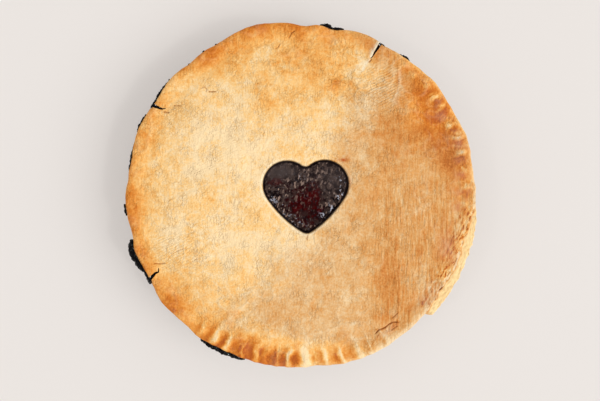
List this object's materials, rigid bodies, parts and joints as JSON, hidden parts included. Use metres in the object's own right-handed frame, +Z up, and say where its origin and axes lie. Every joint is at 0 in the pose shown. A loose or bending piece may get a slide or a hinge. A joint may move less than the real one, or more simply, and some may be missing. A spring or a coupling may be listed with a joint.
{
  "type": "blueberry pie",
  "caption": "Round double-crust pie in its own tin: domed golden lid with a heart-shaped window onto dark berry filling, crimped rim, slits and boiled-over juice at the edge.",
  "frame": {"origin": "centre of the tin's flat underside, where the pie stands", "axes": "+Z up out of the pie, +X to the right and +Y away from the viewer when the heart's tip points at them"},
  "size_m": [0.2541, 0.2477, 0.0482],
  "materials": {
    "tin": "plain pressed sheet, satin",
    "pale_crust": "pale baked crust, dry and flaky",
    "golden_crust": "golden baked crust, browner at the rim, faint sheen",
    "filling": "wet, lumpy and near black with a deep red glow",
    "juice": "cooked juice, near black and glossy"
  },
  "bodies": {
    "root": {"tin": "tin", "bottom_crust": "pale_crust", "filling": "filling", "top_crust": "golden_crust", "juice_left": "juice", "juice_lower_left": "juice", "juice_top": "juice", "juice_top_right": "juice", "juice_upper_left": "juice", "juice_upper_right": "juice", "juice_left_top": "juice", "juice_left_side": "juice", "juice_left_spot": "juice"}
  },
  "joints": []
}
